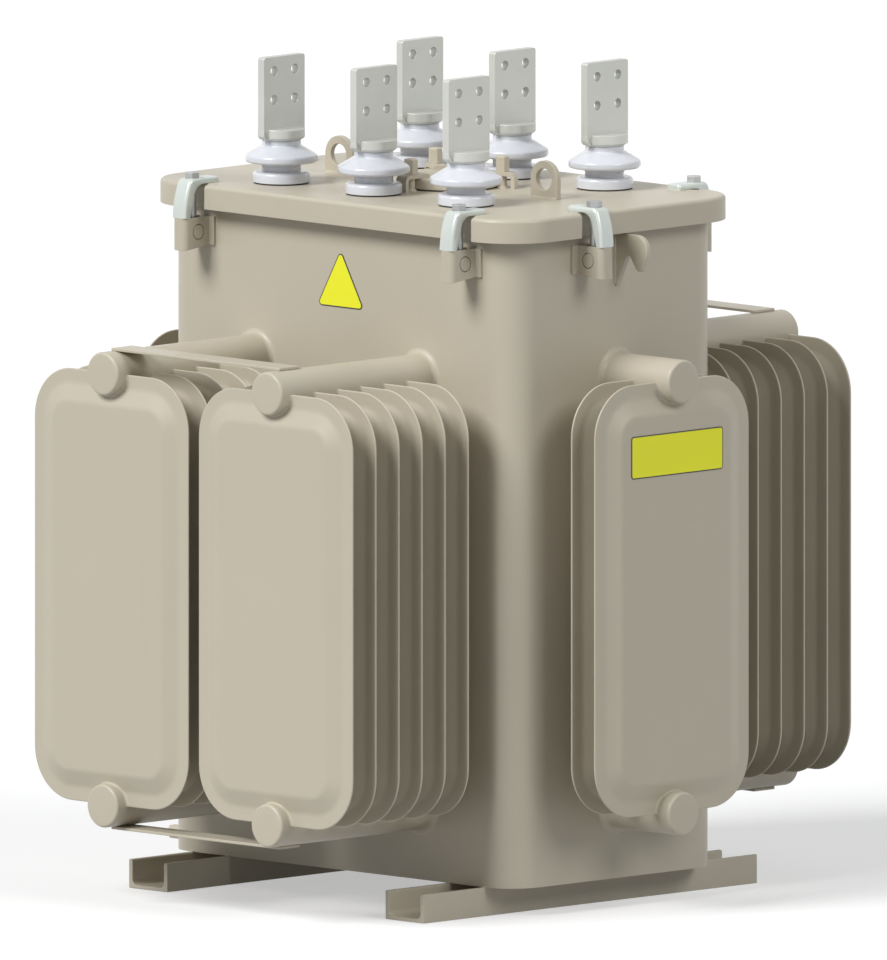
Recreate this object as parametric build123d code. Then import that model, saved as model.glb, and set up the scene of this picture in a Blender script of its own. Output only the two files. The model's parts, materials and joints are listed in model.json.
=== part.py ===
from build123d import *
import os

# Sizes are in millimetres. Z is up, Z = 0 is the floor, and the tank's centre stands over the origin.
# The long walls of the tank face -Y (front) and +Y (back). The end walls face -X (left) and +X (right).

fit_gap = 0.2

# Skids: two rolled channels with the web on the floor
skid_length = 650.0
skid_width = 75.0
skid_height = 40.0
skid_web = 5.0
skid_flange = 7.0
skid_inner_radius = 8.0
skid_tip_radius = 3.0
skid_spacing = 500.0

# Tank: a bent sheet wall on a bottom plate
tank_length = 680.0
tank_width = 410.0
tank_corner = 50.0
tank_sheet = 5.0
tank_floor_thickness = 8.0

# Lid: a tray with a folded rim, seated on a gasket and a flange
lid_overhang = 25.0
lid_sheet = 4.0
lid_rim_height = 34.0
lid_rim_bottom = 938.0
lid_edge_radius = 6.0
notch_width = 42.0
notch_depth = 16.0
notch_corner = 9.0
notch_mouth_radius = 6.0
gasket_thickness = 5.0
rim_thickness = 8.0
rim_side_gap = 1.0

# Radiators: flat fins, pressed from two sheets, on an upper and a lower header pipe
fin_width = 300.0
fin_corner = 72.0
fin_seam = 3.0
fin_seam_width = 20.0
fin_slope_width = 24.0
fin_bulge = 9.5
fin_pitch = 45.0
header_radius = 30.15
header_low = 140.0
header_high = 740.0
header_end_radius = 4.0
weld_size = 8.0
side_fin_count = 6
side_first_fin = 55.0
side_header_end = 300.0
side_radiator_spacing = 320.0
end_fin_count = 2
end_first_fin = 60.0
end_header_end = 130.0

# Flat bars that tie the two radiators of a long side
strap_width = 40.0
strap_thickness = 4.0
strap_past_axis = 4.0
strap_from_header_end = 22.0

# Bushings: two rows of three
bushing_pitch = 180.0
bushing_from_side = 95.0
bushing_gasket_radius = 38.0
bushing_gasket_thickness = 2.0
porcelain_base_radius = 39.4
porcelain_base_height = 15.0
porcelain_neck_radius = 27.0
shed_radius = 50.0
shed_low = 26.0
shed_edge_low = 30.0
shed_edge_high = 39.0
shed_high = 53.0
porcelain_height = 60.0
porcelain_foot_radius = 5.5
porcelain_waist_radius = 2.0
shed_under_radius = 3.5
shed_over_radius = 4.5
shed_root_radius = 5.0
cap_radius = 32.5
cap_flare = 4.0
cap_height = 16.0
flag_width = 80.0
flag_thickness = 12.0
flag_height = 101.0
flag_corner = 4.0
flag_hole_radius = 6.5
flag_hole_spacing = 40.0
flag_hole_from_top = 20.0

# Cover clamps: a cast hook, a bolt with a barrel nut, and a folded bracket on the tank wall
clamp_from_wall = 24.0
side_clamp_from_end = 80.0
end_clamp_y = 69.0
hook_width = 26.0
hook_cheek = 4.0
hook_arm = 8.0
hook_tip = 41.0
hook_top_reach = 14.0
hook_foot_reach = 27.0
hook_leg_thickness = 11.0
hook_throat = 4.0
hook_inner_radius = 18.0
hook_outer_radius = 8.0
hook_tip_radius = 3.0
hook_wall = 6.0
hook_edge_radius = 3.5
bolt_radius = 6.0
bolt_hole_gap = 0.5
bolt_past_barrel = 4.0
bolt_head_flats = 19.0
bolt_head_height = 8.0
bolt_head_turn = 15.0
bracket_below_lid = 12.0
bracket_height = 45.0
bracket_width = 26.0
bracket_depth = 51.0
bracket_sheet = 4.0
bracket_bend = 9.0
bracket_foot = 9.0
bracket_rise = 6.0
barrel_radius = 10.0
barrel_slack = 1.0
barrel_below_top = 20.0

# Lifting eyes on the lid and hauling hooks on the end walls
eye_spacing = 400.0
eye_width = 52.0
eye_thickness = 8.0
eye_axis_height = 26.0
eye_hole_radius = 15.0
haul_thickness = 9.0
haul_below_lid = 2.0
haul_shoulder_reach = 38.0
haul_nose_reach = 61.5
haul_nose_drop = 23.5
haul_beak_reach = 55.0
haul_beak_drop = 44.0
haul_tip_reach = 45.0
haul_tip_drop = 52.0
haul_tip_radius = 5.0
haul_throat_reach = 22.0
haul_throat_drop = 22.0
haul_foot_drop = 77.0
haul_throat_radius = 6.0

# Hand hole cover with three dogs
cover_x = 13.0
cover_radius = 68.0
cover_height = 15.5
cover_edge_radius = 3.0
cover_gasket_radius = 66.0
cover_gasket_thickness = 2.0
dog_count = 3
dog_first_angle = -90.0
dog_width = 20.0
dog_thickness = 5.5
dog_bend = 9.0
dog_inner = 50.0
dog_outer = 95.0
stud_circle = 75.5
stud_radius = 6.0
stud_weld = 3.0
stud_nut_flats = 17.0
stud_nut_height = 22.0
stud_nut_chamfer = 1.5

# Drain plug on the left end wall
drain_y = -140.0
drain_above_floor = 14.0
drain_boss_radius = 13.0
drain_boss_length = 26.0
drain_plug_flats = 18.0
drain_plug_length = 23.0
drain_chamfer = 1.5

# Sizes and places that follow from the values above
lid_length = tank_length + 2 * lid_overhang
lid_width = tank_width + 2 * lid_overhang
lid_corner = tank_corner + lid_overhang
side_clamp_x = tank_length / 2 - side_clamp_from_end
bushing_row_spacing = lid_width - 2 * bushing_from_side
bracket_top = lid_rim_bottom - bracket_below_lid
barrel_height = bracket_top - barrel_below_top
haul_top = lid_rim_bottom - haul_below_lid
tank_base = skid_height
lid_top = lid_rim_bottom + lid_rim_height
lid_underside = lid_top - lid_sheet
rim_top = lid_underside - gasket_thickness
rim_bottom = rim_top - rim_thickness
wall_half = {"front": tank_width / 2, "back": tank_width / 2, "left": tank_length / 2, "right": tank_length / 2}
turn = {"front": 0.0, "right": 90.0, "back": 180.0, "left": 270.0}


def place(side, along=0.0):
    """A frame on one tank wall: its -Y points out of the wall, and along runs to the wall's right."""
    return Rot(0, 0, turn[side]) * Pos(along, -wall_half[side], 0)


def rounded_face(points, radii):
    """A flat face through the points. radii gives the radius of each rounded corner by its number."""
    face = make_face(Polyline(*points, close=True))
    for index, radius in radii.items():
        x, y = points[index]
        corner = [v for v in face.vertices() if abs(v.X - x) < 0.01 and abs(v.Y - y) < 0.01]
        face = fillet(corner, radius)
    return face


def hexagon(flats, height):
    """A hexagonal prism that stands on Z = 0."""
    return extrude(RegularPolygon(flats / 2, 6, major_radius=False), height)


def skid_profile():
    """Channel section in X and Y: the web below and a flange up each side."""
    outer = Rectangle(skid_width, skid_height, align=(Align.CENTER, Align.MIN))
    inner_width = skid_width - 2 * skid_flange
    inner = Pos(0, skid_web) * Rectangle(inner_width, skid_height, align=(Align.CENTER, Align.MIN))
    inner = fillet(inner.vertices().sort_by(Axis.Y)[:2], skid_inner_radius)
    section = outer - inner
    tips = [v for v in section.vertices() if v.Y > skid_height - 1 and abs(v.X) < skid_width / 2 - 1]
    return fillet(tips, skid_tip_radius)


def skid(side):
    """One skid under the tank, its length along Y."""
    bar = extrude(Plane.XZ * skid_profile(), skid_length / 2, both=True)
    return Pos(side * skid_spacing / 2, 0, 0) * bar


def tank_outline(inset=0.0):
    """The tank's plan, moved in by inset."""
    return RectangleRounded(tank_length - 2 * inset, tank_width - 2 * inset, tank_corner - inset)


def tank_wall():
    """Four walls with bent corners, from the bottom plate to the top of the flange."""
    height = rim_top - tank_base
    return Pos(0, 0, tank_base) * extrude(tank_outline() - tank_outline(tank_sheet), height)


def tank_floor():
    """The bottom plate, set inside the wall and flush with its lower edge."""
    plate = extrude(tank_outline(tank_sheet + fit_gap), tank_floor_thickness)
    return Pos(0, 0, tank_base) * plate


def clamp_places():
    """Side and distance along the wall of each clamp. The ends' clamps lie half a turn apart."""
    sides = [(side, sign * side_clamp_x) for side in ("front", "back") for sign in (-1, 1)]
    ends = [("right", -end_clamp_y), ("left", -end_clamp_y)]
    return sides + ends


def notch():
    """The plan of one notch, with the lid's edge on Y = 0 and the lid on the +Y side."""
    side = notch_width / 2
    flank = side + 2 * notch_mouth_radius
    points = [
        (-flank, -notch_depth),
        (flank, -notch_depth),
        (flank, 0),
        (side, 0),
        (side, notch_depth),
        (-side, notch_depth),
        (-side, 0),
        (-flank, 0),
    ]
    mouth = {3: notch_mouth_radius, 6: notch_mouth_radius}
    return rounded_face(points, {4: notch_corner, 5: notch_corner, **mouth})


def lid_outline():
    """The lid's plan: a rounded rectangle with a notch where each clamp bolt passes."""
    half = {"front": lid_width / 2, "back": lid_width / 2, "left": lid_length / 2, "right": lid_length / 2}
    plan = RectangleRounded(lid_length, lid_width, lid_corner)
    for side, along in clamp_places():
        plan -= Rot(0, 0, turn[side]) * Pos(along, -half[side]) * notch()
    return plan


def lid():
    """A tray turned upside down: a top sheet and a folded rim that follows the notches."""
    plan = lid_outline()
    body = Pos(0, 0, lid_rim_bottom) * extrude(plan, lid_rim_height)
    body = fillet(body.edges().group_by(Axis.Z)[-1], lid_edge_radius)
    hollow = offset(plan, -lid_sheet)
    return body - Pos(0, 0, lid_rim_bottom) * extrude(hollow, lid_rim_height - lid_sheet)


def rim_outline():
    """The plan of the flange and the gasket: inside the lid's rim, round the outside of the tank."""
    return offset(lid_outline(), -lid_sheet - rim_side_gap)


def tank_rim():
    """The flange welded round the top of the wall."""
    ring = rim_outline() - tank_outline(-fit_gap)
    return Pos(0, 0, rim_bottom) * extrude(ring, rim_thickness)


def cover_gasket():
    """The seal between flange and lid."""
    ring = rim_outline() - tank_outline(tank_sheet)
    return Pos(0, 0, rim_top) * extrude(ring, gasket_thickness)


def fin_outline(inset=0.0):
    """One fin seen from the front, moved in by inset."""
    height = header_high - header_low
    return RectangleRounded(fin_width - 2 * inset, height - 2 * inset, fin_corner - inset)


def fin():
    """A fin with its middle plane on Y = 0: a flat seam round a field that bulges to both sides."""
    upright = Pos(0, 0, (header_high + header_low) / 2) * Rot(90, 0, 0)
    body = extrude(fin_outline(), fin_seam / 2, both=True)
    for way in (1, -1):
        root = Pos(0, 0, way * fin_seam / 2) * fin_outline(fin_seam_width)
        crown = Pos(0, 0, way * (fin_seam / 2 + fin_bulge)) * fin_outline(fin_seam_width + fin_slope_width)
        body += loft([root.face(), crown.face()])
    body = upright * body
    for height in (header_low, header_high):
        pipe = Pos(0, 0, height) * Rot(90, 0, 0) * Cylinder(header_radius + fit_gap, fin_pitch)
        body -= pipe
    return body


def header(length):
    """A header pipe from the wall at Y = 0 to its closed end at Y = -length, with its weld at the wall."""
    pipe = extrude(Plane.XZ * Circle(header_radius), length)
    pipe = fillet(pipe.edges().group_by(Axis.Y)[0], header_end_radius)
    weld = Plane.XZ * Pos(0, 0, weld_size / 2) * Cone(header_radius + weld_size, header_radius, weld_size)
    return pipe + weld


def radiator_fins(side, along, first, count):
    """The fins of one radiator, as separate solids."""
    one = fin()
    return Compound([place(side, along) * Pos(0, -first - i * fin_pitch, 0) * one for i in range(count)])


def radiator_headers(side, along, length):
    """The lower and the upper header of one radiator."""
    one = header(length)
    return Compound([place(side, along) * Pos(0, 0, z) * one for z in (header_low, header_high)])


def straps(side):
    """A flat bar over the upper headers of a long side and one under the lower headers."""
    length = side_radiator_spacing + 2 * strap_past_axis
    out = side_header_end - strap_from_header_end - strap_width / 2
    lift = header_radius + strap_thickness / 2
    bar = Box(length, strap_width, strap_thickness)
    heights = (header_low - lift, header_high + lift)
    return Compound([place(side) * Pos(0, -out, z) * bar for z in heights])


def bushing_places():
    """Plan positions of the bushings: the front row from left to right, then the back row."""
    rows = (-bushing_row_spacing / 2, bushing_row_spacing / 2)
    return [(column * bushing_pitch, y) for y in rows for column in (-1, 0, 1)]


def porcelain():
    """The insulator over a lid at Z = 0: a base, a waist, one shed and a neck, turned about Z."""
    low = bushing_gasket_thickness
    points = [
        (0, low),
        (porcelain_base_radius, low),
        (porcelain_base_radius, low + porcelain_base_height),
        (porcelain_neck_radius, low + porcelain_base_height),
        (porcelain_neck_radius, shed_low),
        (shed_radius, shed_edge_low),
        (shed_radius, shed_edge_high),
        (porcelain_neck_radius, shed_high),
        (porcelain_neck_radius, porcelain_height),
        (0, porcelain_height),
    ]
    waist = {3: porcelain_waist_radius, 4: porcelain_waist_radius}
    shed = {5: shed_under_radius, 6: shed_over_radius, 7: shed_root_radius}
    radii = {2: porcelain_foot_radius, **waist, **shed}
    return revolve(Plane.XZ * rounded_face(points, radii), Axis.Z)


def terminal():
    """The metal cap and its drilled flag, over a lid at Z = 0. The flag faces along X."""
    ledge = porcelain_height + cap_height
    points = [
        (0, porcelain_height),
        (porcelain_neck_radius, porcelain_height),
        (cap_radius, porcelain_height + cap_flare),
        (cap_radius, ledge),
        (0, ledge),
    ]
    cap = revolve(Plane.XZ * rounded_face(points, {}), Axis.Z)
    half = flag_width / 2
    top = ledge + flag_height
    corners = [(half, ledge), (half, top), (-half, top), (-half, ledge)]
    outline = rounded_face(corners, {1: flag_corner, 2: flag_corner})
    for y in (-flag_hole_spacing / 2, flag_hole_spacing / 2):
        for drop in (0, flag_hole_spacing):
            outline -= Pos(y, top - flag_hole_from_top - drop) * Circle(flag_hole_radius)
    return cap + extrude(Plane.YZ * outline, flag_thickness / 2, both=True)


def hook():
    """One clamp hook in its own frame: the bolt on Z, outwards along -Y, the lid's top at Z = 0."""
    drop = lid_top - bracket_top
    points = [
        (hook_tip, 0),
        (hook_tip, hook_arm),
        (-hook_top_reach, hook_arm),
        (-hook_foot_reach, -drop),
        (hook_leg_thickness - hook_foot_reach, -drop),
        (-hook_throat, 0),
    ]
    outline = rounded_face(points, {1: hook_tip_radius, 2: hook_outer_radius, 5: hook_inner_radius})
    body = extrude(Plane.YZ * outline, hook_width / 2, both=True)
    lean = (hook_foot_reach - hook_top_reach) / (drop + hook_arm)
    hollow = [
        (hook_tip, 0),
        (hook_wall - hook_top_reach - lean * hook_arm, 0),
        (hook_wall - hook_foot_reach, -drop),
        (hook_tip, -drop),
    ]
    body -= extrude(Plane.YZ * rounded_face(hollow, {}), hook_width / 2 - hook_cheek, both=True)
    edges = [e for e in body.edges() if abs(abs(e.center().X) - hook_width / 2) < 0.01]
    outer = [e for e in edges if e.center().Z > 0.1 or e.center().Y < -hook_top_reach - 2]
    body = fillet([e for e in outer if e.center().Z > -drop + 0.1], hook_edge_radius)
    return body - Cylinder(bolt_radius + bolt_hole_gap, 4 * hook_arm)


def at_clamps(shape):
    """A copy of the shape at each clamp, with its Z axis on the bolt's axis."""
    spots = [place(side, along) * Pos(0, -clamp_from_wall, 0) for side, along in clamp_places()]
    return Compound([spot * shape for spot in spots])


def clamp_hooks():
    """The hooks, each with its arm on the lid and its foot on the bracket."""
    return at_clamps(Pos(0, 0, lid_top) * hook())


def clamp_bolts():
    """A hexagon bolt from each hook down through its barrel nut."""
    seat = lid_top + hook_arm
    length = seat - barrel_height + barrel_radius + bolt_past_barrel
    shank = Pos(0, 0, seat - length / 2) * Cylinder(bolt_radius, length)
    head = Pos(0, 0, seat) * Rot(0, 0, bolt_head_turn) * hexagon(bolt_head_flats, bolt_head_height)
    return at_clamps(shank + head)


def barrel_nuts():
    """A round bar across each bracket, with a hole for the bolt."""
    bar = Rot(0, 90, 0) * Cylinder(barrel_radius, bracket_width)
    bar -= Cylinder(bolt_radius + fit_gap, 3 * barrel_radius)
    return at_clamps(Pos(0, 0, barrel_height) * bar)


def bracket():
    """A folded bracket with the tank wall on Y = 0: a U with rounded bends and a foot on each side."""
    outer = [
        (-bracket_width / 2, 0),
        (-bracket_width / 2, -bracket_depth),
        (bracket_width / 2, -bracket_depth),
        (bracket_width / 2, 0),
    ]
    plan = rounded_face(outer, {1: bracket_bend, 2: bracket_bend})
    feet = Rectangle(bracket_width + 2 * bracket_foot, bracket_sheet, align=(Align.CENTER, Align.MAX))
    side = bracket_width / 2 - bracket_sheet
    depth = bracket_depth - bracket_sheet
    inner = [(-side, bracket_sheet), (-side, -depth), (side, -depth), (side, bracket_sheet)]
    bend = bracket_bend - bracket_sheet
    plan = plan + feet - rounded_face(inner, {1: bend, 2: bend})
    bottom = bracket_top - bracket_height
    body = Pos(0, 0, bottom) * extrude(plan, bracket_height)
    slope = rounded_face([(0, bottom), (-bracket_depth, bottom), (0, bottom + bracket_rise)], {})
    body -= extrude(Plane.YZ * slope, bracket_width, both=True)
    hole = Rot(0, 90, 0) * Cylinder(barrel_radius + barrel_slack, 2 * bracket_width)
    return body - Pos(0, -clamp_from_wall, barrel_height) * hole


def clamp_brackets():
    """The brackets on the tank walls."""
    return Compound([place(side, along) * bracket() for side, along in clamp_places()])


def lifting_eyes():
    """Two plates with a round top and a hole, upright on the lid's long centre line."""
    round_top = Pos(0, eye_axis_height) * Circle(eye_width / 2)
    post = Rectangle(eye_width, eye_axis_height, align=(Align.CENTER, Align.MIN))
    outline = post + round_top - Pos(0, eye_axis_height) * Circle(eye_hole_radius)
    outline -= Rectangle(2 * eye_width, eye_width, align=(Align.CENTER, Align.MAX))
    eye = extrude(Plane.XZ * outline, eye_thickness / 2, both=True)
    return Compound([Pos(sign * eye_spacing / 2, 0, lid_top) * eye for sign in (-1, 1)])


def hauling_hook():
    """A hook cut from plate, in X and Z, with its root on X = 0 and its beak turned down."""
    root = (0, haul_top)
    shoulder = (haul_shoulder_reach, haul_top)
    nose = (haul_nose_reach, haul_top - haul_nose_drop)
    beak = (haul_beak_reach, haul_top - haul_beak_drop)
    tip = (haul_tip_reach, haul_top - haul_tip_drop)
    throat = (haul_throat_reach, haul_top - haul_throat_drop)
    foot = (0, haul_top - haul_foot_drop)
    back = TangentArc(shoulder, nose, tangent=(1, 0))
    front = TangentArc(nose, beak, tangent=back % 1)
    outline = make_face([Line(root, shoulder), back, front, Polyline(beak, tip, throat, foot, root)])
    for (x, y), radius in ((tip, haul_tip_radius), (throat, haul_throat_radius)):
        corner = [v for v in outline.vertices() if abs(v.X - x) < 0.01 and abs(v.Y - y) < 0.01]
        outline = fillet(corner, radius)
    return extrude(Plane.XZ * outline, haul_thickness / 2, both=True)


def hauling_hooks():
    """One hook at the middle of each end wall, just under the lid."""
    right = Pos(tank_length / 2, 0, 0) * hauling_hook()
    return Compound([right, Rot(0, 0, 180) * right])


def hand_hole_cover():
    """A round plate on its gasket."""
    disc = extrude(Circle(cover_radius), cover_height)
    disc = fillet(disc.edges().group_by(Axis.Z)[-1], cover_edge_radius)
    return Pos(cover_x, 0, lid_top + cover_gasket_thickness) * disc


def lid_gaskets():
    """The seals under the bushings and under the hand hole cover."""
    small = extrude(Circle(bushing_gasket_radius), bushing_gasket_thickness)
    large = extrude(Circle(cover_gasket_radius), cover_gasket_thickness)
    rings = [Pos(x, y, lid_top) * small for x, y in bushing_places()]
    return Compound(rings + [Pos(cover_x, 0, lid_top) * large])


def around_cover(shape):
    """A copy of the shape at each dog, its X axis pointing out from the cover's centre."""
    angles = [dog_first_angle + i * 360 / dog_count for i in range(dog_count)]
    return Compound([Pos(cover_x, 0, lid_top) * Rot(0, 0, angle) * shape for angle in angles])


def cover_dogs():
    """Bent bars that press on the cover's edge and stand on the lid outside it."""
    seat = cover_gasket_thickness + cover_height
    points = [
        (dog_inner, seat),
        (dog_outer - dog_thickness, seat),
        (dog_outer - dog_thickness, 0),
        (dog_outer, 0),
        (dog_outer, seat + dog_thickness),
        (dog_inner, seat + dog_thickness),
    ]
    outline = rounded_face(points, {1: dog_bend - dog_thickness, 4: dog_bend})
    dog = extrude(Plane.XZ * outline, dog_width / 2, both=True)
    return around_cover(dog - Pos(stud_circle, 0, seat) * Cylinder(stud_radius + fit_gap, 4 * dog_thickness))


def cover_studs():
    """Studs welded to the lid, each with a tall nut on its dog."""
    seat = cover_gasket_thickness + cover_height + dog_thickness
    shank = Pos(0, 0, seat / 2) * Cylinder(stud_radius, seat)
    weld = Pos(0, 0, stud_weld / 2) * Cone(stud_radius + stud_weld, stud_radius, stud_weld)
    nut = hexagon(stud_nut_flats, stud_nut_height)
    nut = chamfer(nut.edges().group_by(Axis.Z)[-1], stud_nut_chamfer)
    return around_cover(Pos(stud_circle, 0, 0) * (shank + weld + Pos(0, 0, seat) * nut))


def drain_frame():
    """The drain's axis on the left end wall: its Z axis points out of the wall."""
    height = tank_base + drain_above_floor
    return place("left", -drain_y) * Pos(0, 0, height) * Rot(90, 0, 0)


def drain_boss():
    """The round boss welded to the wall."""
    boss = extrude(Circle(drain_boss_radius), drain_boss_length)
    return drain_frame() * chamfer(boss.edges().group_by(Axis.Z)[-1], drain_chamfer)


def drain_plug():
    """The hexagon plug that closes the boss."""
    plug = hexagon(drain_plug_flats, drain_plug_length)
    plug = chamfer(plug.edges().group_by(Axis.Z)[-1], drain_chamfer)
    return drain_frame() * Pos(0, 0, drain_boss_length) * plug


def radiators():
    """The fins and the headers of the six radiators, by node name."""
    half = side_radiator_spacing / 2
    spots = {
        "front_left": ("front", -half, side_first_fin, side_fin_count, side_header_end),
        "front_right": ("front", half, side_first_fin, side_fin_count, side_header_end),
        "back_left": ("back", half, side_first_fin, side_fin_count, side_header_end),
        "back_right": ("back", -half, side_first_fin, side_fin_count, side_header_end),
        "left": ("left", 0, end_first_fin, end_fin_count, end_header_end),
        "right": ("right", 0, end_first_fin, end_fin_count, end_header_end),
    }
    nodes = {}
    for name, (side, along, first, count, length) in spots.items():
        nodes[name + "_fins"] = radiator_fins(side, along, first, count)
        nodes[name + "_headers"] = radiator_headers(side, along, length)
    return nodes


def bushings():
    """The porcelain and the terminal of the six bushings, by node name."""
    names = ["front_left", "front_middle", "front_right", "back_left", "back_middle", "back_right"]
    insulator = porcelain()
    flag = terminal()
    nodes = {}
    for name, (x, y) in zip(names, bushing_places()):
        nodes[name + "_porcelain"] = Pos(x, y, lid_top) * insulator
        nodes[name + "_terminal"] = Pos(x, y, lid_top) * flag
    return nodes


def all_nodes():
    """Every piece of the reactor, by node name."""
    return {
        "tank_wall": tank_wall(),
        "tank_floor": tank_floor(),
        "tank_rim": tank_rim(),
        "cover_gasket": cover_gasket(),
        "lid": lid(),
        "left_skid": skid(-1),
        "right_skid": skid(1),
        **radiators(),
        "front_straps": straps("front"),
        "back_straps": straps("back"),
        **bushings(),
        "lid_gaskets": lid_gaskets(),
        "clamp_hooks": clamp_hooks(),
        "clamp_bolts": clamp_bolts(),
        "barrel_nuts": barrel_nuts(),
        "clamp_brackets": clamp_brackets(),
        "lifting_eyes": lifting_eyes(),
        "hauling_hooks": hauling_hooks(),
        "hand_hole_cover": hand_hole_cover(),
        "cover_dogs": cover_dogs(),
        "cover_studs": cover_studs(),
        "drain_boss": drain_boss(),
        "drain_plug": drain_plug(),
    }


os.makedirs("parts", exist_ok=True)
for name, shape in all_nodes().items():
    export_step(shape, f"parts/{name}.step")
    print(name)
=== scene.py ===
# %% [markdown]
# # An oil-immersed reactor, dressed for the camera
#
# A reactor like this one is a steel tank full of oil. Flat fins on thick pipes cool the oil, and six
# porcelain bushings carry the current out through the lid. The construction is already there as a fixed
# frame of named nodes. This lesson gives every node its finish, and makes new surfaces where a pressed,
# turned or cast form is softer than the plain solid.

# %% Load the frame
import json
import math
import bmesh
import bpy
import numpy as np
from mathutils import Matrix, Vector


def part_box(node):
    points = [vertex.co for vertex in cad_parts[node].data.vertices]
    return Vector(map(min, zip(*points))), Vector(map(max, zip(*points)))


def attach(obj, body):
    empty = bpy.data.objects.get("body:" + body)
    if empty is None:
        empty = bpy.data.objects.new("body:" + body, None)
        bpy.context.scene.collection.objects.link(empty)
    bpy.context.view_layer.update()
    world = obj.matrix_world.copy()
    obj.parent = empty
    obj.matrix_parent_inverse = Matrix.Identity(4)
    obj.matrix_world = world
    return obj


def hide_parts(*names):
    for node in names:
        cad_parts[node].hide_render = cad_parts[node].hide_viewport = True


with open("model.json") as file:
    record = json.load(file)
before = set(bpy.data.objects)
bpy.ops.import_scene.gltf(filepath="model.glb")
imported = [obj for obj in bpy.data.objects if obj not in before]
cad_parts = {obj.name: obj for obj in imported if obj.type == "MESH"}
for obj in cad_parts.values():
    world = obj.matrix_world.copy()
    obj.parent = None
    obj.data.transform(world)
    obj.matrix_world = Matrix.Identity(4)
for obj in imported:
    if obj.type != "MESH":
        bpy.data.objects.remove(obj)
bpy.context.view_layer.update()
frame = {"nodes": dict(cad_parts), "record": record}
print("frame:", len(frame["nodes"]), "nodes")

# %% [markdown]
# ## Camera
#
# The picture is a parallel view: upright edges stay upright and far edges are as long as near ones. So the
# camera is orthographic. It stands 45 degrees round from the front and looks 7 degrees down. The scale
# comes from one known distance in the picture, and the aim is a point on the tank's axis.

# %% Camera
VIEW_TURN = math.radians(45)
VIEW_RISE = math.radians(7)
METRES_PER_PIXEL = 0.001 / 0.7255
PICTURE_HEIGHT = 960
AIM = Vector((0.0005, 0.0005, 0.5629))


def make_camera():
    """An orthographic camera on the line that leaves the aim at the view's turn and rise."""
    back = Vector((math.sin(VIEW_TURN) * math.cos(VIEW_RISE), -math.cos(VIEW_TURN) * math.cos(VIEW_RISE),
                   math.sin(VIEW_RISE)))
    camera = bpy.data.objects.new("camera", bpy.data.cameras.new("camera"))
    camera.data.type = "ORTHO"
    camera.data.ortho_scale = PICTURE_HEIGHT * METRES_PER_PIXEL
    camera.location = AIM + 6 * back
    camera.rotation_euler = back.to_track_quat("Z", "Y").to_euler()
    bpy.context.scene.collection.objects.link(camera)
    bpy.context.scene.camera = camera
    return camera


make_camera()
print("camera set")

# %% [markdown]
# ## Light
#
# A product picture has one broad light, a weak one from the side and a bright, even room. The wide main
# sun stands in front and a little to the left, so the front walls are the lightest and the fins shade the
# wall and the corner behind them. The weak sun at the right lifts the end wall. The room's light is weak
# for the object, but what the camera sees of the room is white.

# %% Light and room
KEY_TURN = math.radians(-8)
KEY_RISE = math.radians(42)
KEY_STRENGTH = 2.63
SIDE_TURN = math.radians(95)
SIDE_RISE = math.radians(35)
SIDE_STRENGTH = 0.92
KEY_WIDTH = math.radians(28)
ROOM_STRENGTH = 0.21


def make_sun(name, turn, rise, strength, width):
    """A sun whose light comes from the given turn (from the front towards +X) and rise."""
    towards = Vector((math.sin(turn) * math.cos(rise), -math.cos(turn) * math.cos(rise), math.sin(rise)))
    lamp = bpy.data.lights.new(name, "SUN")
    lamp.energy = strength
    lamp.angle = width
    sun = bpy.data.objects.new(name, lamp)
    sun.rotation_euler = towards.to_track_quat("Z", "Y").to_euler()
    bpy.context.scene.collection.objects.link(sun)


def add_node(tree, kind, inputs=None, links=None, **settings):
    """A new shader node with its settings, its plain values and its incoming links."""
    made = tree.nodes.new(kind)
    for key, value in settings.items():
        setattr(made, key, value)
    for key, value in (inputs or {}).items():
        made.inputs[key].default_value = value
    for key, socket in (links or {}).items():
        tree.links.new(socket, made.inputs[key])
    return made


def camera_or_mirror(tree):
    """A mask that is 1 where the camera looks straight, or in a reflection or through glass."""
    path = add_node(tree, "ShaderNodeLightPath")
    first = add_node(tree, "ShaderNodeMath", operation="MAXIMUM",
                     links={0: path.outputs["Is Camera Ray"], 1: path.outputs["Is Glossy Ray"]})
    return add_node(tree, "ShaderNodeMath", operation="MAXIMUM",
                    links={0: first.outputs[0], 1: path.outputs["Is Transmission Ray"]})


def make_room():
    """A world that is white to look at and dimmer as a light."""
    world = bpy.data.worlds.new("room")
    world.use_nodes = True
    tree = world.node_tree
    tree.nodes.clear()
    seen = camera_or_mirror(tree)
    light = add_node(tree, "ShaderNodeBackground", {"Color": (0.93, 0.96, 1, 1), "Strength": ROOM_STRENGTH})
    white = add_node(tree, "ShaderNodeBackground", {"Color": (1, 1, 1, 1), "Strength": 1.0})
    mix = add_node(tree, "ShaderNodeMixShader",
                   links={0: seen.outputs[0], 1: light.outputs[0], 2: white.outputs[0]})
    add_node(tree, "ShaderNodeOutputWorld", links={"Surface": mix.outputs[0]})
    bpy.context.scene.world = world


make_sun("key_sun", KEY_TURN, KEY_RISE, KEY_STRENGTH, KEY_WIDTH)
make_sun("side_sun", SIDE_TURN, SIDE_RISE, SIDE_STRENGTH, KEY_WIDTH)
make_room()
bpy.context.scene.view_settings.view_transform = "Standard"
print("lights set")

# %% [markdown]
# ## Floor
#
# The floor is a plain pale sheet. It is nearly white where the light falls on it, so the object's shadow
# still shows. It throws back less light than it shows, so that the undersides stay dark.

# %% Floor
FLOOR_HALF = 30.0
FLOOR_DROP = 0.0004


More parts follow.
